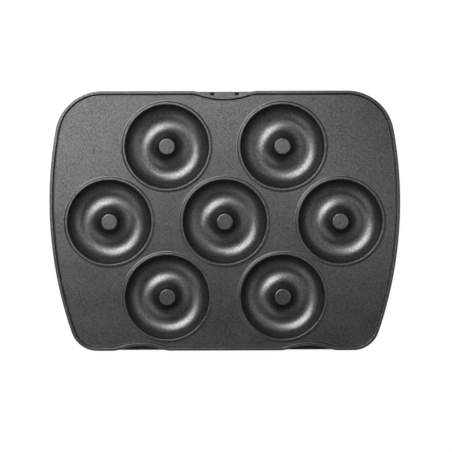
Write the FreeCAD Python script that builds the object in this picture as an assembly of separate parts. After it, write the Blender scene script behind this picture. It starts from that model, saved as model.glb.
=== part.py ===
import FreeCAD, Part
import math
import os

# Removable donut plate for an electric snack maker: one die casting in aluminium
# with seven ring-shaped moulds, and the dark non-stick coat that is baked onto its
# cooking side.  Millimetres, +Z up.  The origin is on the surface the plate lies on,
# under the middle of its outline.  +Y points to the edge with the single latch bay,
# -Y to the edge with the two hook bays.

V = FreeCAD.Vector

# ---------------------------------------------------------------- driving dimensions
PLATE_W = 250.0          # across the widest place
PLATE_D = 185.1          # latch edge to hook edge
SIDE_R = 287.0           # radius of the bowed left and right edges
SIDE_Y = 13.9            # the widest place lies this far behind the middle
CORNER_R_REAR = 33.6     # corners beside the latch edge
CORNER_R_FRONT = 19.3    # corners beside the hook edge

Z_TOP = 15.2             # rim and posts end in this parting plane
Z_BEAD = 14.5            # crest of the beads around the ring mouths
Z_FACE = 13.7            # cooking face
DECK_T = 2.8             # thickness of the deck under the face
Z_LEDGE = 9.6            # latch ledge in the rear bay
Z_HOOK = 7.6             # hook ledges in the front bays
Z_SKIRT = 4.4            # lower edge of the skirt
SKIRT_T = 2.6            # wall of the skirt
LEDGE_IN = 0.25          # ledges stand this far inside the outline

RIM_W_TOP = 2.1         # rim, outer wall to inner wall, at its top
RIM_W_FOOT = 2.45         # the same at the cooking face
RIM_FILLET_OUT = 0.65
RIM_FILLET_IN = 0.4
GROOVE_W = 0.6           # groove at the foot of the rim
GROOVE_DEEP = 0.6

# bays in the edges: centres, half length, depth, and radius of the arcs at both ends
REAR_BAY = dict(x=[0.0], half=23.7, deep=3.95, end=18.7)
FRONT_BAY = dict(x=[-59.7, 59.7], half=20.6, deep=3.6, end=16.3)
NOTCH_X = 8.8            # two notches beside the lug in the latch bay
NOTCH_W = 2.9            # at the ledge
NOTCH_W_LOW = 0.1        # at the floor
NOTCH_DEEP = 2.4
Z_NOTCH = 5.2            # floor of the notches, and foot of the ledges' outer wall

ROW_Y = (52.95, -0.75, -54.45)
PITCH_X = 82.4
MOULDS = [(-PITCH_X / 2, ROW_Y[0]), (PITCH_X / 2, ROW_Y[0]),
          (-PITCH_X, ROW_Y[1]), (0.0, ROW_Y[1]), (PITCH_X, ROW_Y[1]),
          (-PITCH_X / 2, ROW_Y[2]), (PITCH_X / 2, ROW_Y[2])]
PLUG_R = 33.0            # each mould is turned as one plug of this radius

POST_R = 5.8             # centre post at its top
POST_R_LOW = 6.64
POST_FILLET = 0.8
MOUTH_R = 30.12         # ring mouth, inside the bead
MOUTH_R_LOW = 29.36
MOUTH_FILLET = 0.45
RING_DEEP = 12.0         # parting plane to the bottom of the ring
RING_FILLET = 12.0       # half round section
BEAD_R = 31.4            # outer edge of the bead's crest
BEAD_FILLET = 0.7
BEAD_FOOT_R = 32.55
BEAD_FOOT_FILLET = 0.6

COAT_T = 0.25            # non-stick coat
PAD_R = 3.6              # ejector pads under the deck

Z_DECK = Z_FACE - DECK_T
Z_RING = Z_TOP - RING_DEEP

os.makedirs("parts", exist_ok=True)


# ---------------------------------------------------------------- outline of the plate
def arc3(cx, cy, r, a0, a1):
    """Arc about (cx, cy) from angle a0 to a1 in radians, as an edge."""
    am = (a0 + a1) / 2
    p = [V(cx + r * math.cos(a), cy + r * math.sin(a), 0) for a in (a0, am, a1)]
    return Part.Arc(*p).toShape()


def bay_edge(x_from, x_to, y_base, bay, d):
    """Straight edge run in +X with inward (+Y) bays, shifted inward by d."""
    edges = []
    x = x_from
    for xc in (sorted(bay["x"]) if bay else []):
        half, b, end = bay["half"], bay["deep"], bay["end"]
        both = (half * half + b * b) / (2 * b)
        mid = both - end
        turn = math.asin(half / both)
        x0, x1 = xc - half, xc + half
        up = -math.pi / 2
        edges.append(Part.makeLine(V(x, y_base + d, 0), V(x0, y_base + d, 0)))
        edges.append(arc3(x0, y_base + end, end - d, up, up + turn))
        edges.append(arc3(xc, y_base + b - mid, mid + d, math.pi / 2 + turn, math.pi / 2 - turn))
        edges.append(arc3(x1, y_base + end, end - d, up - turn, up))
        x = x1
    edges.append(Part.makeLine(V(x, y_base + d, 0), V(x_to, y_base + d, 0)))
    return edges


def outline(d, z, bays=True):
    """Closed outline, d inside the outermost edge, at height z."""
    sx = PLATE_W / 2 - SIDE_R
    h = PLATE_D / 2
    rt, rb = CORNER_R_REAR, CORNER_R_FRONT
    yt, yb = h - rt, -h + rb
    xt = sx + math.sqrt((SIDE_R - rt) ** 2 - (yt - SIDE_Y) ** 2)
    xb = sx + math.sqrt((SIDE_R - rb) ** 2 - (yb - SIDE_Y) ** 2)
    a1 = math.atan2(yb - SIDE_Y, xb - sx)
    a2 = math.atan2(yt - SIDE_Y, xt - sx)
    edges = bay_edge(-xb, xb, -h, FRONT_BAY if bays else None, d)
    edges.append(arc3(xb, yb, rb - d, -math.pi / 2, a1))
    edges.append(arc3(sx, SIDE_Y, SIDE_R - d, a1, a2))
    edges.append(arc3(xt, yt, rt - d, a2, math.pi / 2))
    for e in bay_edge(-xt, xt, -h, REAR_BAY if bays else None, d):
        e.rotate(V(0, 0, 0), V(0, 0, 1), 180)
        edges.append(e)
    edges.append(arc3(-xt, yt, rt - d, math.pi / 2, math.pi - a2))
    edges.append(arc3(-sx, SIDE_Y, SIDE_R - d, math.pi - a2, math.pi - a1))
    edges.append(arc3(-xb, yb, rb - d, math.pi - a1, 1.5 * math.pi))
    wire = Part.Wire(Part.__sortEdges__(edges))
    wire.translate(V(0, 0, z))
    return wire


def slab(d, z0, z1, bays=True):
    return Part.Face(outline(d, z0, bays)).extrude(V(0, 0, z1 - z0))


# ---------------------------------------------------------------- turned profiles
def shifted(points, t):
    """Open path of (r, z, fillet) moved by t to its right-hand side."""
    lines = []
    for (x0, y0, _), (x1, y1, _) in zip(points, points[1:]):
        n = math.hypot(x1 - x0, y1 - y0)
        nx, ny = (y1 - y0) / n, -(x1 - x0) / n
        lines.append((x0 + nx * t, y0 + ny * t, x1 + nx * t, y1 + ny * t))
    out = [(lines[0][0], lines[0][1], 0.0)]
    for (a, b), (x, y, f) in zip(zip(lines, lines[1:]), points[1:-1]):
        d1 = (a[2] - a[0], a[3] - a[1])
        d2 = (b[2] - b[0], b[3] - b[1])
        cross = d1[0] * d2[1] - d1[1] * d2[0]
        k = ((b[0] - a[0]) * d2[1] - (b[1] - a[1]) * d2[0]) / cross
        # a left turn has its fillet centre on the left, so it grows
        out.append((a[0] + d1[0] * k, a[1] + d1[1] * k, f + t if cross > 0 else f - t))
    out.append((lines[-1][2], lines[-1][3], 0.0))
    return out


def path_edges(points):
    """Edges in the XZ plane of a path of (r, z, fillet)."""
    edges = []
    at = V(points[0][0], 0, points[0][1])
    for i in range(1, len(points) - 1):
        p = V(points[i][0], 0, points[i][1])
        f = points[i][2]
        u = V(points[i - 1][0], 0, points[i - 1][1]).sub(p)
        w = V(points[i + 1][0], 0, points[i + 1][1]).sub(p)
        u.normalize()
        w.normalize()
        if f <= 1e-6:
            edges.append(Part.makeLine(at, p))
            at = p
            continue
        ang = u.getAngle(w)
        tan_len = f / math.tan(ang / 2)
        t0, t1 = p.add(u * tan_len), p.add(w * tan_len)
        mid_dir = u.add(w)
        mid_dir.normalize()
        mid = p.add(mid_dir * (f / math.sin(ang / 2) - f))
        if at.distanceToPoint(t0) > 1e-6:
            edges.append(Part.makeLine(at, t0))
        edges.append(Part.Arc(t0, mid, t1).toShape())
        at = t1
    end = V(points[-1][0], 0, points[-1][1])
    if at.distanceToPoint(end) > 1e-6:
        edges.append(Part.makeLine(at, end))
    return edges


def top_path(c):
    """Cooking surface of one mould from its axis outwards, c below the coat's skin."""
    pts = [(-1.0, Z_TOP, 0), (POST_R, Z_TOP, POST_FILLET), (POST_R_LOW, Z_RING, RING_FILLET),
           (MOUTH_R_LOW, Z_RING, RING_FILLET), (MOUTH_R, Z_BEAD, MOUTH_FILLET),
           (BEAD_R, Z_BEAD, BEAD_FILLET), (BEAD_FOOT_R, Z_FACE, BEAD_FOOT_FILLET), (40.0, Z_FACE, 0)]
    pts = shifted(pts, c) if c else pts
    pts[0] = (0.0, Z_TOP - c, 0)
    pts[-1] = (PLUG_R, Z_FACE - c, 0)
    return pts


UNDER_PATH = [(PLUG_R, Z_DECK, 0), (32.2, Z_DECK, 0.7), (30.95, 0.0, 13.4),
              (8.2, 0.0, 1.6), (3.8, 2.6, 1.2), (3.0, 11.0, 0.8), (0.0, 11.0, 0)]


def turned(edges):
    return Part.Face(Part.Wire(Part.__sortEdges__(edges))).revolve(V(0, 0, 0), V(0, 0, 1), 360)


def line_rz(p, q):
    return Part.makeLine(V(p[0], 0, p[1]), V(q[0], 0, q[1]))


def mould_casting(c):
    """Bowl, bead and cored post of one mould."""
    top = top_path(c)
    edges = path_edges(top) + path_edges(UNDER_PATH)
    edges.append(line_rz(top[-1], UNDER_PATH[0]))
    edges.append(line_rz(UNDER_PATH[-1], top[0]))
    return turned(edges)


def mould_coat(c):
    """Skin of one mould, from the coat's surface down to c below it."""
    outer, inner = top_path(0.0), top_path(c)
    edges = path_edges(outer) + path_edges(inner)
    edges.append(line_rz(outer[-1], inner[-1]))
    edges.append(line_rz(outer[0], inner[0]))
    return turned(edges)


# ---------------------------------------------------------------- deck, rim and skirt
def long_edges(shape, z, test):
    """Edges lying wholly at height z whose middle passes test(x, y)."""
    found = []
    for e in shape.Edges:
        b = e.BoundBox
        if abs(b.ZMin - z) < 1e-4 and abs(b.ZMax - z) < 1e-4:
            p = e.valueAt((e.FirstParameter + e.LastParameter) / 2)
            if test(p.x, p.y):
                found.append(e)
    return found


def notch(x, c):
    """Tapered cutter of one notch in the latch ledge, for a surface c below the coat's skin."""
    taper = (NOTCH_W - NOTCH_W_LOW) / 2 / (Z_LEDGE - Z_NOTCH)
    y0 = PLATE_D / 2 - LEDGE_IN - NOTCH_DEEP - c
    low, high = Z_NOTCH - c, Z_LEDGE + 1.0
    wide = [NOTCH_W / 2 + taper * (z - Z_LEDGE) + c * math.hypot(1.0, taper) for z in (low, high)]
    corners = [V(x - wide[0], y0, low), V(x + wide[0], y0, low), V(x + wide[1], y0, high), V(x - wide[1], y0, high)]
    return Part.Face(Part.makePolygon(corners + corners[:1])).extrude(V(0, LEDGE_IN + NOTCH_DEEP + c + 2, 0))


def rim_body(c, z_low):
    """Everything under the cooking side apart from the moulds, c below the coat's skin."""
    body = slab(c, z_low, Z_TOP - c)
    ledges = slab(LEDGE_IN + c, z_low, Z_LEDGE - c, bays=False)
    ledges = ledges.cut(Part.makeCompound([notch(s * NOTCH_X, c) for s in (-1, 1)]))
    ledges = ledges.cut(Part.makeBox(PLATE_W, 15, 10, V(-PLATE_W / 2, -PLATE_D / 2 - 5, Z_HOOK - c)))
    pocket = Part.makeLoft([outline(RIM_W_FOOT - c, Z_FACE - c), outline(RIM_W_TOP - c, Z_TOP - c)], True, True)
    body = body.cut(pocket)
    groove = slab(RIM_W_FOOT - c, Z_FACE - GROOVE_DEEP - c, Z_FACE - c + 0.4)
    groove = groove.cut(slab(RIM_W_FOOT + GROOVE_W + c, Z_FACE - 3, Z_FACE + 2))
    body = body.cut(groove)
    tops = long_edges(body, Z_TOP - c, lambda x, y: True)
    wall = outline(c, Z_TOP - c)
    outer = [e for e in tops if wall.distToShape(Part.Vertex(e.valueAt((e.FirstParameter + e.LastParameter) / 2)))[0] < 0.01]
    body = body.makeFillet(RIM_FILLET_OUT - c, outer)
    tops = long_edges(body, Z_TOP - c, lambda x, y: True)
    inner = [e for e in tops if wall.distToShape(Part.Vertex(e.valueAt((e.FirstParameter + e.LastParameter) / 2)))[0] > 1.0]
    body = body.makeFillet(RIM_FILLET_IN - c, inner)
    foot = slab(c, z_low, Z_NOTCH - c, bays=False)
    return body.multiFuse([ledges, foot]).removeSplitter()


def plugs(z0, z1):
    return Part.makeCompound([Part.makeCylinder(PLUG_R, z1 - z0, V(x, y, z0)) for x, y in MOULDS])


def placed(shape):
    out = []
    for x, y in MOULDS:
        s = shape.copy()
        s.translate(V(x, y, 0))
        out.append(s)
    return out


# ---------------------------------------------------------------- non-stick coat
coat_rim = rim_body(0.0, Z_SKIRT).cut(rim_body(COAT_T, Z_SKIRT - 1.0))
coat_rim = coat_rim.cut(plugs(Z_FACE - 2, Z_FACE + 1))
coat = coat_rim.multiFuse(placed(mould_coat(COAT_T))).removeSplitter()

# ---------------------------------------------------------------- casting
casting = rim_body(COAT_T, Z_SKIRT)
hollow = slab(SKIRT_T, Z_SKIRT - 5, Z_DECK)
casting = casting.cut(hollow)
casting = casting.cut(plugs(Z_DECK - 5, Z_FACE + 1))


def rib(x0, y0, x1, y1, wide=2.2, z0=8.1):
    """Low stiffening rib under the deck between two points."""
    n = math.hypot(x1 - x0, y1 - y0)
    box = Part.makeBox(n, wide, Z_DECK + 0.6 - z0, V(0, -wide / 2, z0))
    box.rotate(V(0, 0, 0), V(0, 0, 1), math.degrees(math.atan2(y1 - y0, x1 - x0)))
    box.translate(V(x0, y0, 0))
    return box


ribs = []
r_end = 30.3
for (xa, ya), (xb, yb) in ((MOULDS[0], MOULDS[1]), (MOULDS[2], MOULDS[3]),
                           (MOULDS[3], MOULDS[4]), (MOULDS[5], MOULDS[6])):
    ribs.append(rib(xa + r_end, ya, xb - r_end, yb))
for (x, y), ang, reach in ((MOULDS[0], 150, 66.0), (MOULDS[0], 118, 42.4),
                           (MOULDS[1], 30, 66.0), (MOULDS[1], 62, 42.4),
                           (MOULDS[5], 207, 64.0), (MOULDS[6], -27, 64.0),
                           (MOULDS[2], 180, 41.2), (MOULDS[4], 0, 41.2)):
    a = math.radians(ang)
    ribs.append(rib(x + r_end * math.cos(a), y + r_end * math.sin(a),
                    x + reach * math.cos(a), y + reach * math.sin(a)))

pads = [Part.makeCylinder(PAD_R, 1.6, V(x, y, Z_DECK - 0.8))
        for x, y in ((-98, 62), (98, 62), (-92, -58), (92, -58), (0, 74), (0, -76))]

casting = casting.multiFuse(placed(mould_casting(COAT_T)) + ribs + pads).removeSplitter()


# ---------------------------------------------------------------- export
def single(shape, name):
    solids = shape.Solids
    big = max(solids, key=lambda s: s.Volume)
    b = big.BoundBox
    print(name, "solids", len(solids), "valid", big.isValid(), "volume %.0f mm3" % big.Volume,
          "faces", len(big.Faces), "box %.2f %.2f %.2f" % (b.XLength, b.YLength, b.ZLength),
          "z %.2f to %.2f" % (b.ZMin, b.ZMax))
    return big


for name, shape in (("plate_casting", casting), ("nonstick_coating", coat)):
    single(shape, name).exportStep("parts/%s.step" % name)
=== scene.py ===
import math

import bmesh
import bpy
import numpy as np
from mathutils import Matrix, Vector
from mathutils.geometry import delaunay_2d_cdt


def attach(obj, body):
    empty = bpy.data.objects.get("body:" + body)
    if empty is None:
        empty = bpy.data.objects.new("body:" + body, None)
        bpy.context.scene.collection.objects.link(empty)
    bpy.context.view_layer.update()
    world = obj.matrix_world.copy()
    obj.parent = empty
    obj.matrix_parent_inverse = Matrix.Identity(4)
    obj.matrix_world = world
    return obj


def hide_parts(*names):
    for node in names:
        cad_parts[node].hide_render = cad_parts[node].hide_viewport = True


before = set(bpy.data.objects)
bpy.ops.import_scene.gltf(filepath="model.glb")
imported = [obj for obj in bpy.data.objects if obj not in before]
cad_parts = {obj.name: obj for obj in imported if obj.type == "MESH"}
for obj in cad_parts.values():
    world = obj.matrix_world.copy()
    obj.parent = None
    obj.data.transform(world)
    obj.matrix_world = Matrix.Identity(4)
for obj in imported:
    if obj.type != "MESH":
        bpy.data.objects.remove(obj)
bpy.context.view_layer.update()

MM = 0.001

# ------------------------------------------------------------------ sizes in millimetres
HW, HD = 125.0, 92.55                    # half width and half depth of the plate
SIDE_R, SIDE_Y = 287.0, 13.9             # bowed sides
R_REAR, R_FRONT = 33.6, 19.3             # corners
Z_TOP, Z_BEAD, Z_FACE, Z_LEDGE, Z_HOOK, Z_SKIRT = 15.2, 14.5, 13.7, 9.6, 7.6, 4.4
LEDGE_IN = 0.25
RIM_TOP, RIM_FOOT = 2.1, 2.45
GROOVE_W, GROOVE_DEEP = 0.6, 0.6
RIM_FLAT = 3.68                         # the level cooking face starts this far inside the outline
REAR_BAY = dict(x=(0.0,), half=23.7, deep=3.95, end=18.7)
FRONT_BAY = dict(x=(-59.7, 59.7), half=20.6, deep=3.6, end=16.3)
NOTCH_X, NOTCH_W, NOTCH_LOW, NOTCH_DEEP, Z_NOTCH = 8.8, 2.9, 0.1, 2.4, 5.2
COAT = 0.25
PITCH = 82.4
ROWS = (52.95, -0.75, -54.45)
MOULDS = [(-PITCH / 2, ROWS[0]), (PITCH / 2, ROWS[0]), (-PITCH, ROWS[1]), (0.0, ROWS[1]),
          (PITCH, ROWS[1]), (-PITCH / 2, ROWS[2]), (PITCH / 2, ROWS[2])]
PLUG_R = 32.95
RING_DEEP = 12.0


# ------------------------------------------------------------------ 2-D paths
def shifted(points, t):
    """Path of (x, y, fillet) moved by t to its right-hand side."""
    lines = []
    for (x0, y0, _), (x1, y1, _) in zip(points, points[1:]):
        n = math.hypot(x1 - x0, y1 - y0)
        nx, ny = (y1 - y0) / n, -(x1 - x0) / n
        lines.append((x0 + nx * t, y0 + ny * t, x1 + nx * t, y1 + ny * t))
    out = [(lines[0][0], lines[0][1], 0.0)]
    for a, b, p in zip(lines, lines[1:], points[1:-1]):
        d1 = (a[2] - a[0], a[3] - a[1])
        d2 = (b[2] - b[0], b[3] - b[1])
        cross = d1[0] * d2[1] - d1[1] * d2[0]
        k = ((b[0] - a[0]) * d2[1] - (b[1] - a[1]) * d2[0]) / cross
        out.append((a[0] + d1[0] * k, a[1] + d1[1] * k, p[2] + t if cross > 0 else p[2] - t))
    out.append((lines[-1][2], lines[-1][3], 0.0))
    return out


def sampled(points, step, arc_step, turn_step, lead=0.0):
    """Points along a path of (x, y, fillet): straight runs cut at step, arcs at arc_step or turn_step. A point stands
    lead inside each end of a straight run, so that its smooth shading stays level up to the arcs."""
    out = [np.array(points[0][:2], float)]

    def run_to(q):
        p = out[-1]
        span = np.linalg.norm(q - p)
        way = (q - p) / span
        ends = (lead, span - lead) if lead and span > 4 * lead else (0.0, span)
        n = max(1, int(math.ceil((ends[1] - ends[0]) / step)))
        marks = [ends[0] + (ends[1] - ends[0]) * i / n for i in range(n + 1)]
        for u in marks[0 if ends[0] else 1:] + ([span] if ends[0] else []):
            out.append(p + way * u)

    for i in range(1, len(points) - 1):
        p = np.array(points[i][:2], float)
        f = points[i][2]
        u = np.array(points[i - 1][:2], float) - p
        w = np.array(points[i + 1][:2], float) - p
        u, w = u / np.linalg.norm(u), w / np.linalg.norm(w)
        if f < 1e-6:
            run_to(p)
            continue
        ang = math.acos(max(-1, min(1, float(u @ w))))
        tl = f / math.tan(ang / 2)
        mid = (u + w) / np.linalg.norm(u + w)
        c = p + mid * f / math.sin(ang / 2)
        a, b = p + u * tl, p + w * tl
        if np.linalg.norm(a - out[-1]) > 1e-6:
            run_to(a)
        turn = math.pi - ang
        n = max(2, int(math.ceil(max(turn / turn_step, turn * f / arc_step))))
        va, vb = a - c, b - c
        for k in range(1, n + 1):
            s = k / n
            v = (math.sin((1 - s) * turn) * va + math.sin(s * turn) * vb) / math.sin(turn)
            out.append(c + v)
    q = np.array(points[-1][:2], float)
    if np.linalg.norm(q - out[-1]) > 1e-6:
        run_to(q)
    return np.array(out)


# ------------------------------------------------------------------ outline of the plate
def bay_depth(x, bay):
    """Depth of the edge bays at x, and its slope: one wide arc between two small ones."""
    for xc in bay["x"]:
        u = abs(x - xc)
        if u >= bay["half"]:
            continue
        b, end = bay["deep"], bay["end"]
        both = (bay["half"] ** 2 + b * b) / (2 * b)
        mid = both - end
        sign = -1.0 if x > xc else 1.0
        if u <= bay["half"] * mid / both:
            q = math.sqrt(mid * mid - u * u)
            return b - mid + q, sign * u / q
        v = bay["half"] - u
        q = math.sqrt(end * end - v * v)
        return end - q, sign * v / q
    return 0.0, 0.0


def edge_stations(x_end, bay, notched):
    """Stations of one straight edge, run in +X with the inside on +Y: rim point, outward normal, points of the wall
    under the ledge at its top and at its foot, where the notches are narrower, and point of the wall under them."""
    xs = []
    x = -x_end
    while x < x_end - 1e-6:
        near = any(abs(x - xc) < bay["half"] + 1.5 for xc in bay["x"])
        xs.append(x)
        x += 0.62 if near else 1.9
    out = []

    def add(xb, xl, depth_l, xf=None):
        d, slope = bay_depth(xb, bay)
        n = np.array((slope, -1.0)) / math.hypot(slope, 1.0)
        foot = np.array((xl if xf is None else xf, -HD + depth_l))
        out.append((np.array((xb, -HD + d)), n, np.array((xl, -HD + depth_l)), foot, np.array((xb, -HD))))

    def plain(x):
        d, _ = bay_depth(x, bay)
        k = 0.12
        h = max(k - abs(d - LEDGE_IN), 0.0) / k
        add(x, x, min(d, LEDGE_IN) - h * h * k / 4)

    notches = []
    if notched:
        for s in (-1, 1):
            a, b = s * NOTCH_X - NOTCH_W / 2, s * NOTCH_X + NOTCH_W / 2
            path = sampled([(a - 0.9, LEDGE_IN, 0), (a, LEDGE_IN, 0.4), (a, LEDGE_IN + NOTCH_DEEP, 0.5),
                            (b, LEDGE_IN + NOTCH_DEEP, 0.5), (b, LEDGE_IN, 0.4), (b + 0.9, LEDGE_IN, 0)],
                           0.5, 0.15, 0.35)
            wide = [0.0, NOTCH_W / 2, NOTCH_W / 2 + 0.9]
            feet = [s * NOTCH_X + math.copysign(np.interp(abs(q[0] - s * NOTCH_X), wide, [0.0, NOTCH_LOW / 2, wide[2]]),
                                                q[0] - s * NOTCH_X) for q in path]
            notches.append((a - 0.9, b + 0.9, path, feet))
    done = set()
    for x in xs:
        inside = [i for i, (a, b, _, _) in enumerate(notches) if a - 0.2 <= x <= b + 0.2]
        if not inside:
            plain(x)
            continue
        i = inside[0]
        if i in done:
            continue
        done.add(i)
        a, b, path, feet = notches[i]
        for k, (px, depth) in enumerate(path):
            add(a + (b - a) * k / (len(path) - 1), px, depth, feet[k])
    return out


def stations():
    """Closed ring of stations, counter-clockwise from above."""
    sx = HW - SIDE_R
    yt, yb = HD - R_REAR, -HD + R_FRONT
    xt = sx + math.sqrt((SIDE_R - R_REAR) ** 2 - (yt - SIDE_Y) ** 2)
    xb = sx + math.sqrt((SIDE_R - R_FRONT) ** 2 - (yb - SIDE_Y) ** 2)
    a1 = math.atan2(yb - SIDE_Y, xb - sx)
    a2 = math.atan2(yt - SIDE_Y, xt - sx)
    out = list(edge_stations(xb, FRONT_BAY, False))

    def arc(cx, cy, r, a, b, step):
        n = max(4, int(math.ceil(abs(b - a) * r / step)))
        for i in range(n):
            t = a + (b - a) * i / n
            v = np.array((math.cos(t), math.sin(t)))
            p = np.array((cx, cy)) + v * r
            out.append((p, v, p.copy(), p.copy(), p.copy()))

    arc(xb, yb, R_FRONT, -math.pi / 2, a1, 1.1)
    arc(sx, SIDE_Y, SIDE_R, a1, a2, 1.9)
    arc(xt, yt, R_REAR, a2, math.pi / 2, 1.3)
    out.extend(tuple(-v for v in s) for s in edge_stations(xt, REAR_BAY, True))
    arc(-xt, yt, R_REAR, math.pi / 2, math.pi - a2, 1.3)
    arc(-sx, SIDE_Y, SIDE_R, math.pi - a2, math.pi - a1, 1.9)
    arc(-xb, yb, R_FRONT, math.pi - a1, 1.5 * math.pi, 1.1)
    rim = np.array([s[0] for s in out])
    nrm = np.array([s[1] for s in out])
    walls = []
    for k in (2, 3, 4):
        low = np.array([s[k] for s in out])
        tan = np.roll(low, -1, 0) - np.roll(low, 1, 0)
        tan /= np.linalg.norm(tan, axis=1)[:, None]
        walls += [low, np.stack([tan[:, 1], -tan[:, 0]], 1)]
    return [rim, nrm, *walls]


RIM, RIM_N, MID, MID_N, FOOT, FOOT_N, LOW, LOW_N = stations()


# ------------------------------------------------------------------ mesh gathering
class Gather:
    def __init__(self):
        self.v, self.f, self.n = [], [], 0

    def add(self, co):
        co = np.asarray(co, float).reshape(-1, 3)
        self.v.append(co)
        self.n += len(co)
        return np.arange(self.n - len(co), self.n)

    def strip(self, a, b):
        """Quads between two closed rings of the same length."""
        k = len(a)
        for i in range(k):
            j = (i + 1) % k
            self.f.append((a[i], a[j], b[j], b[i]))

    def fan(self, tip, ring):
        k = len(ring)
        for i in range(k):
            self.f.append((tip, ring[i], ring[(i + 1) % k]))

    def flat(self, outer, holes, spots, z):
        """Triangles of a level region inside ring outer and outside the holes, through the extra spots."""
        co = np.concatenate(self.v)
        ids = [*outer, *[i for h in holes for i in h]]
        pts = [Vector(co[i][:2]) for i in ids]
        edges, at = [], 0
        for ring in [outer, *holes]:
            k = len(ring)
            edges += [(at + i, at + (i + 1) % k) for i in range(k)]
            at += k
        extra = self.add([(x, y, z) for x, y in spots])
        ids += list(extra)
        pts += [Vector(s) for s in spots]
        vs, _, fs, _, _, _ = delaunay_2d_cdt(pts, edges, [], 0, 1e-5)
        if len(vs) != len(pts):
            raise RuntimeError("the level region's boundary crosses itself")
        loop = np.array([co[i][:2] for i in outer])
        for f in fs:
            c = sum((vs[i] for i in f), Vector((0, 0))) / len(f)
            if any((c.x - x) ** 2 + (c.y - y) ** 2 < self.hole_r2 for x, y in MOULDS):
                continue
            if inside(loop, c):
                self.f.append(tuple(ids[i] for i in f))

    def mesh(self, name):
        me = bpy.data.meshes.new(name)
        me.from_pydata((np.concatenate(self.v) * MM).tolist(), [], [tuple(int(i) for i in f) for f in self.f])
        bm = bmesh.new()
        bm.from_mesh(me)
        bmesh.ops.remove_doubles(bm, verts=bm.verts, dist=2e-6)
        bmesh.ops.dissolve_degenerate(bm, edges=bm.edges, dist=1e-7)
        bmesh.ops.recalc_face_normals(bm, faces=bm.faces)
        loose = [e for e in bm.edges if len(e.link_faces) != 2]
        print(name, "faces", len(bm.faces), "open edges", len(loose), "volume cm3 %.2f" % (bm.calc_volume() * 1e6))
        bm.to_mesh(me)
        bm.free()
        me.shade_smooth()
        return me


def inside(loop, p):
    x, y = loop[:, 0], loop[:, 1]
    x2, y2 = np.roll(x, -1), np.roll(y, -1)
    hit = (y > p.y) != (y2 > p.y)
    with np.errstate(divide="ignore", invalid="ignore"):
        cross = x + (p.y - y) / (y2 - y) * (x2 - x)
    return bool(np.count_nonzero(hit & (p.x < cross)) % 2)


def level_spots(margin, pitch):
    """Spots of an even triangular grid on the cooking face, clear of rims and moulds."""
    loop = RIM - RIM_N * (RIM_FLAT + margin)
    out = []
    row = 0
    y = -HD + 2
    while y < HD:
        x = -HW + (pitch / 2 if row % 2 else 0)
        while x < HW:
            if all((x - a) ** 2 + (y - b) ** 2 > (PLUG_R + margin) ** 2 for a, b in MOULDS) and inside(loop, Vector((x, y))):
                out.append((x, y))
            x += pitch
        y += pitch * 0.866
        row += 1
    return out


# ------------------------------------------------------------------ cooking side
def mould_points(c):
    pts = [(-1.0, Z_TOP, 0), (5.8, Z_TOP, 0.8), (6.64, Z_TOP - RING_DEEP, 12.0), (29.36, Z_TOP - RING_DEEP, 12.0),
           (30.12, Z_BEAD, 0.32), (31.4, Z_BEAD, 0.5), (32.55, Z_FACE, 0.9), (40.0, Z_FACE, 0)]
    pts = shifted(pts, c) if c else pts
    pts[0] = (0.0, Z_TOP - c, 0)
    pts[-1] = (PLUG_R, Z_FACE - c, 0)
    return pts


def rim_points(c):
    pts = [(RIM_FLAT, Z_FACE, 0), (RIM_FLAT - 0.05, Z_FACE, 0.4), (RIM_FLAT - 0.35, Z_FACE + 0.03, 0.3),
           (RIM_FOOT + GROOVE_W, Z_FACE, 0.25), (RIM_FOOT + GROOVE_W - 0.3, Z_FACE - GROOVE_DEEP, 0.15),
           (RIM_FOOT, Z_FACE - GROOVE_DEEP, 0.2), (RIM_TOP, Z_TOP, 0.4), (0.0, Z_TOP, 0.65), (0.0, Z_LEDGE + 0.5, 0)]
    # the path runs outwards with d falling, so the casting lies on its left
    return shifted(pts, -c) if c else pts


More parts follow.
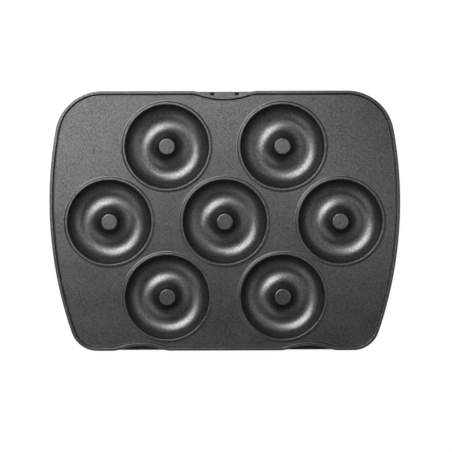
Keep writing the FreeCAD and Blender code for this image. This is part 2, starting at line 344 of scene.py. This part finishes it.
def cooking_side(g, c, around, fine):
    """The cooking side, c below the coat's skin, down to the lip of the skirt. Returns the lip ring."""
    z_face = Z_FACE - c
    if fine:
        prof = sampled(mould_points(c), 1.6, 0.95, 0.24, 0.06)
    else:
        prof = sampled(mould_points(c), 30.0, 3.2, 0.7)
    holes = []
    ang = np.arange(around) * 2 * math.pi / around
    ca, sa = np.cos(ang), np.sin(ang)
    for mx, my in MOULDS:
        tip = g.add([(mx, my, prof[0][1])])[0]
        last = None
        for r, z in prof[1:]:
            ring = g.add(np.stack([mx + r * ca, my + r * sa, np.full(around, z)], 1))
            if last is None:
                g.fan(tip, ring)
            else:
                g.strip(last, ring)
            last = ring
        holes.append(last)
    prof = sampled(rim_points(c), 1.2, 0.2, 0.24, 0.04) if fine else sampled(rim_points(c), 30.0, 1.0, 1.0)
    rings = []
    for d, z in prof:
        rings.append(g.add(np.concatenate([RIM - RIM_N * d, np.full((len(RIM), 1), z)], 1)))
    # ledges and notch floors: steps from one wall out to the next, which are one wall everywhere else
    walls = [RIM - RIM_N * c, MID - MID_N * c, FOOT - FOOT_N * c, LOW - LOW_N * c]

    def step(a, b, z_at, f, steps):
        w = np.linalg.norm(b - a, axis=1)
        soft = np.clip(1 - w / 0.8, 0, 1)
        fu = np.minimum(f, w / 2)
        way = (b - a) / np.maximum(w, 1e-9)[:, None]
        rows = []
        for k in range(steps + 1):
            t = k / steps * math.pi / 2
            rows.append((fu * (1 - math.cos(t)), f * (1 - math.sin(t)) + 0.05 * soft))
        lead = np.minimum(0.06, (w - 2 * fu) / 3)
        rows.append((fu + lead, 0.02 * soft))
        rows.append((w - fu - lead, -0.02 * soft))
        for k in range(steps + 1):
            t = k / steps * math.pi / 2
            rows.append((w - fu * (1 - math.sin(t)), -f * (1 - math.cos(t)) - 0.05 * soft))
        for u, z in rows:
            rings.append(g.add(np.concatenate([a + way * u[:, None], (z_at + z)[:, None]], 1)))

    z_ledge = np.interp(RIM[:, 1], (-60.0, 60.0), (Z_HOOK, Z_LEDGE))
    step(walls[0], walls[1], z_ledge - c, 0.4, 4 if fine else 1)
    for t in ((0.32, 0.62) if fine else ()):
        z = z_ledge + (Z_NOTCH - z_ledge) * t
        rings.append(g.add(np.concatenate([walls[1] * (1 - t) + walls[2] * t, z[:, None]], 1)))
    step(walls[2], walls[3], Z_NOTCH - c, 0.3, 3 if fine else 1)
    rings.append(g.add(np.concatenate([walls[3], np.full((len(LOW), 1), Z_SKIRT + 0.13)], 1)))
    for p, q in zip(rings, rings[1:]):
        g.strip(p, q)
    g.hole_r2 = (PLUG_R * math.cos(math.pi / around)) ** 2 * 0.999
    g.flat(rings[0], holes, level_spots(1.6, 5.0) if fine else [], z_face)
    return rings[-1]


def coat_mesh():
    g = Gather()
    outer = cooking_side(g, 0.0, 112, True)
    inner = cooking_side(g, COAT, 56, False)
    last = outer
    for d, z in ((0.04, 0.04), (0.125, 0.0), (0.21, 0.04)):
        ring = g.add(np.concatenate([LOW - LOW_N * d, np.full((len(LOW), 1), Z_SKIRT + z)], 1))
        g.strip(last, ring)
        last = ring
    g.strip(last, inner)
    return g.mesh("nonstick_coat")


# ------------------------------------------------------------------ materials
class Nodes:
    """Short hand for building a node tree."""

    def __init__(self, name):
        self.mat = bpy.data.materials.new(name)
        self.mat.use_nodes = True
        self.t = self.mat.node_tree
        self.t.nodes.clear()
        self.out = self.t.nodes.new("ShaderNodeOutputMaterial")
        self.bsdf = self.t.nodes.new("ShaderNodeBsdfPrincipled")
        self.t.links.new(self.bsdf.outputs[0], self.out.inputs[0])
        self.co = self.t.nodes.new("ShaderNodeTexCoord").outputs["Object"]

    def turn(self, angles):
        """Turn the pattern space, so that level faces don't lie along the noise's lattice."""
        n = self.t.nodes.new("ShaderNodeMapping")
        self.link(self.co, n.inputs["Vector"])
        n.inputs["Rotation"].default_value = angles
        self.co = n.outputs[0]

    def link(self, a, b):
        self.t.links.new(a, b)

    def put(self, node, key, value):
        if isinstance(value, bpy.types.NodeSocket):
            self.link(value, node.inputs[key])
        elif value is not None:
            node.inputs[key].default_value = value

    def noise(self, scale, detail=2.0, rough=0.5, vector=None):
        n = self.t.nodes.new("ShaderNodeTexNoise")
        self.put(n, "Vector", vector or self.co)
        self.put(n, "Scale", scale)
        self.put(n, "Detail", detail)
        self.put(n, "Roughness", rough)
        return n.outputs["Fac"]

    def cells(self, scale, feature="F1"):
        n = self.t.nodes.new("ShaderNodeTexVoronoi")
        n.feature = feature
        self.put(n, "Vector", self.co)
        self.put(n, "Scale", scale)
        return n.outputs["Distance"], n.outputs["Color"]

    def remap(self, x, a, b, c, d, smooth=False):
        n = self.t.nodes.new("ShaderNodeMapRange")
        n.interpolation_type = "SMOOTHSTEP" if smooth else "LINEAR"
        for k, v in zip(("Value", "From Min", "From Max", "To Min", "To Max"), (x, a, b, c, d)):
            self.put(n, k, v)
        return n.outputs["Result"]

    def math(self, op, a, b=None, c=None):
        n = self.t.nodes.new("ShaderNodeMath")
        n.operation = op
        for i, v in enumerate((a, b, c)):
            self.put(n, i, v)
        return n.outputs[0]

    def mix(self, f, a, b):
        n = self.t.nodes.new("ShaderNodeMix")
        n.data_type = "RGBA"
        for k, v in ((0, f), (6, a), (7, b)):
            if isinstance(v, bpy.types.NodeSocket):
                self.link(v, n.inputs[k])
            elif isinstance(v, (int, float)):
                n.inputs[k].default_value = v
            else:
                n.inputs[k].default_value = (*v, 1.0)
        return n.outputs[2]

    def xyz(self):
        n = self.t.nodes.new("ShaderNodeSeparateXYZ")
        self.link(self.co, n.inputs[0])
        return n.outputs

    def bump(self, height, strength, distance, normal=None):
        n = self.t.nodes.new("ShaderNodeBump")
        n.inputs["Strength"].default_value = strength
        n.inputs["Distance"].default_value = distance
        self.link(height, n.inputs["Height"])
        if normal is not None:
            self.link(normal, n.inputs["Normal"])
        return n.outputs[0]


def grey(v, warm=0.0):
    return (v * (1 + warm), v, v * (1 + warm * 0.2))


def coat_material():
    """Satin coat: dark binder with fine metallic pigment, so the pigment sets how much it mirrors."""
    m = Nodes("nonstick_coat")
    m.turn((0.6, 0.45, 0.9))
    coarse = m.noise(850.0, 0.0, 0.5)
    mottle = m.noise(780.0, 2.0, 0.6)
    grain = m.noise(1500.0, 3.0, 0.62)
    fine = m.noise(1900.0, 0.0, 0.5)
    cloud = m.noise(60.0, 3.0, 0.5)
    dist, tint = m.cells(1250.0)
    fleck = m.remap(dist, 0.10, 0.22, 1.0, 0.0, True)
    pick = m.t.nodes.new("ShaderNodeSeparateColor")
    m.link(tint, pick.inputs[0])
    rare = m.remap(pick.outputs[0], 0.74, 0.80, 0.0, 1.0)
    fleck = m.math("MULTIPLY", fleck, rare)
    base = m.mix(m.remap(mottle, 0.28, 0.72, 0.0, 1.0), grey(0.043, 0.022), grey(0.125, 0.022))
    base = m.mix(m.remap(grain, 0.3, 0.7, 0.0, 0.35), base, grey(0.060, 0.022))
    base = m.mix(m.remap(cloud, 0.35, 0.7, 0.0, 0.3), base, grey(0.092, 0.022))
    base = m.mix(m.math("MULTIPLY", fleck, 0.7), base, grey(0.16, 0.022))
    m.link(base, m.bsdf.inputs["Base Color"])
    m.bsdf.inputs["Metallic"].default_value = 0.92
    rough = m.math("ADD", m.remap(grain, 0.3, 0.7, 0.30, 0.37), m.remap(cloud, 0.3, 0.7, -0.015, 0.02))
    m.link(rough, m.bsdf.inputs["Roughness"])
    height = m.math("ADD", coarse, m.math("MULTIPLY", fine, 0.12))
    m.link(m.bump(height, 1.0, 0.00003), m.bsdf.inputs["Normal"])
    return m.mat


def casting_material():
    m = Nodes("cast_aluminium")
    x, y, z = m.xyz()
    grain = m.noise(900.0, 4.0, 0.6)
    fine = m.noise(3600.0, 2.0, 0.5)
    flow = m.noise(45.0, 4.0, 0.55)
    near = None
    for mx, my in MOULDS:
        d = m.t.nodes.new("ShaderNodeVectorMath")
        d.operation = "DISTANCE"
        c = m.t.nodes.new("ShaderNodeCombineXYZ")
        m.link(x, c.inputs[0])
        m.link(y, c.inputs[1])
        m.link(c.outputs[0], d.inputs[0])
        d.inputs[1].default_value = (mx * MM, my * MM, 0.0)
        near = d.outputs["Value"] if near is None else m.math("MINIMUM", near, d.outputs["Value"])
    land = m.remap(z, 0.00002, 0.00006, 1.0, 0.0)
    turns = m.math("SINE", m.math("MULTIPLY", m.math("ADD", near, m.math("MULTIPLY", flow, 0.00004)), 2 * math.pi / 0.00042))
    base = m.mix(m.remap(flow, 0.3, 0.72, 0.0, 1.0), grey(0.40), grey(0.52))
    base = m.mix(m.remap(grain, 0.25, 0.75, 0.0, 0.5), base, grey(0.32))
    base = m.mix(land, base, grey(0.60))
    spray = m.math("MULTIPLY", m.remap(z, 0.0043, 0.0056, 1.0, 0.0, True), m.remap(grain, 0.42, 0.58, 0.0, 1.0))
    spray = m.math("MULTIPLY", spray, m.remap(z, 0.0039, 0.0043, 0.0, 1.0))
    spray = m.math("MULTIPLY", spray, m.remap(near, 0.0335, 0.0355, 0.0, 1.0))
    base = m.mix(m.math("MULTIPLY", spray, 0.85), base, grey(0.02))
    m.link(base, m.bsdf.inputs["Base Color"])
    m.bsdf.inputs["Metallic"].default_value = 1.0
    rough = m.math("ADD", m.remap(grain, 0.3, 0.7, 0.36, 0.50), m.remap(land, 0.0, 1.0, 0.0, -0.12))
    m.link(rough, m.bsdf.inputs["Roughness"])
    skin = m.math("ADD", m.math("MULTIPLY", grain, 0.6), m.math("MULTIPLY", fine, 0.3))
    skin = m.math("ADD", skin, m.math("MULTIPLY", m.math("MULTIPLY", turns, land), 0.3))
    m.link(m.bump(skin, 0.4, 0.00012), m.bsdf.inputs["Normal"])
    return m.mat


def floor_material():
    m = Nodes("floor")
    soft = m.noise(6.0, 2.0, 0.5)
    m.link(m.mix(m.remap(soft, 0.3, 0.7, 0.0, 1.0), grey(0.05), grey(0.06)), m.bsdf.inputs["Base Color"])
    m.bsdf.inputs["Roughness"].default_value = 0.9
    m.bsdf.inputs["Specular IOR Level"].default_value = 0.1
    m.bsdf.inputs["Emission Color"].default_value = (1.0, 1.0, 1.0, 1.0)
    m.bsdf.inputs["Emission Strength"].default_value = 0.97
    return m.mat


# ------------------------------------------------------------------ pieces
def add_object(name, data):
    o = bpy.data.objects.new(name, data)
    bpy.context.scene.collection.objects.link(o)
    return o


coat = add_object("nonstick_coat", coat_mesh())
coat.data.materials.append(coat_material())
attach(coat, "root")
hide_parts("nonstick_coating")

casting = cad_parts["plate_casting"]
casting.data.materials.clear()
casting.data.materials.append(casting_material())

# ------------------------------------------------------------------ floor, light, camera
bm = bmesh.new()
bmesh.ops.create_circle(bm, cap_ends=True, segments=96, radius=2.6)
floor_data = bpy.data.meshes.new("floor")
bm.to_mesh(floor_data)
bm.free()
floor = add_object("floor", floor_data)
floor.location.z = -0.00005
floor.data.materials.append(floor_material())


def softbox(name, azimuth, zenith, distance, size, radiance):
    """Square area light that faces the plate: azimuth counted from +X, radiance as seen by the plate."""
    d = bpy.data.lights.new(name, "AREA")
    d.shape = "SQUARE"
    d.size = size
    d.energy = radiance * math.pi * size * size
    o = add_object(name, d)
    a, t = math.radians(azimuth), math.radians(zenith)
    v = Vector((math.cos(a) * math.sin(t), math.sin(a) * math.sin(t), math.cos(t)))
    o.location = v * distance
    o.rotation_mode = "QUATERNION"
    o.rotation_quaternion = v.to_track_quat("Z", "Y")
    return o


softbox("key", 127, 33.5, 1.4, 0.86, 11.2)
softbox("top_left", 164, 24, 0.33, 0.06, 2.5)
softbox("top_mid", 136, 21, 0.32, 0.06, 1.0)
softbox("top_rear", 90, 22, 0.32, 0.06, 2.9)
softbox("top_right", 45, 16, 0.31, 0.06, 2.44)
softbox("top_side", 0, 22, 0.32, 0.06, 2.26)
softbox("fill_left", 225, 47, 1.4, 0.95, 0.92)
softbox("fill_right", 0, 45, 1.4, 0.95, 0.60)
softbox("fill_rear", 45, 45, 1.4, 0.95, 0.46)

world = bpy.data.worlds.new("studio")
world.use_nodes = True
wt = world.node_tree
bg = wt.nodes["Background"]
tc = wt.nodes.new("ShaderNodeTexCoord")
sep = wt.nodes.new("ShaderNodeSeparateXYZ")
ramp = wt.nodes.new("ShaderNodeValToRGB")
wt.links.new(tc.outputs["Generated"], sep.inputs[0])
wt.links.new(sep.outputs[2], ramp.inputs[0])
# pale wall near the floor, a soft dome above it, and a dark ceiling behind the lamps
stops = ((0.06, 0.82), (0.16, 0.22), (0.42, 0.14), (0.52, 0.43), (0.82, 0.43), (0.88, 0.0))
while len(ramp.color_ramp.elements) < len(stops):
    ramp.color_ramp.elements.new(0.5)
for e, (at, v) in zip(ramp.color_ramp.elements, stops):
    e.position = at
    e.color = (v, v, v, 1.0)
wt.links.new(ramp.outputs[0], bg.inputs["Color"])
bg.inputs["Strength"].default_value = 1.0
bpy.context.scene.world = world

CAM_D = 1.4                  # lens to parting plane, metres
FRAME_MM = 452 * 250.0 / 351.0
cam_data = bpy.data.cameras.new("camera")
cam_data.sensor_width = 36.0
cam_data.lens = 36.0 * CAM_D / (FRAME_MM * MM)
camera = add_object("camera", cam_data)
roll = math.radians(-0.165)
camera.location = (1.10 * 250.0 / 351.0 * MM, -5.29 * 250.0 / 351.0 * MM, Z_TOP * MM + CAM_D)
camera.rotation_euler = (0.0, 0.0, roll)
bpy.context.scene.camera = camera
bpy.context.scene.view_settings.view_transform = "Standard"
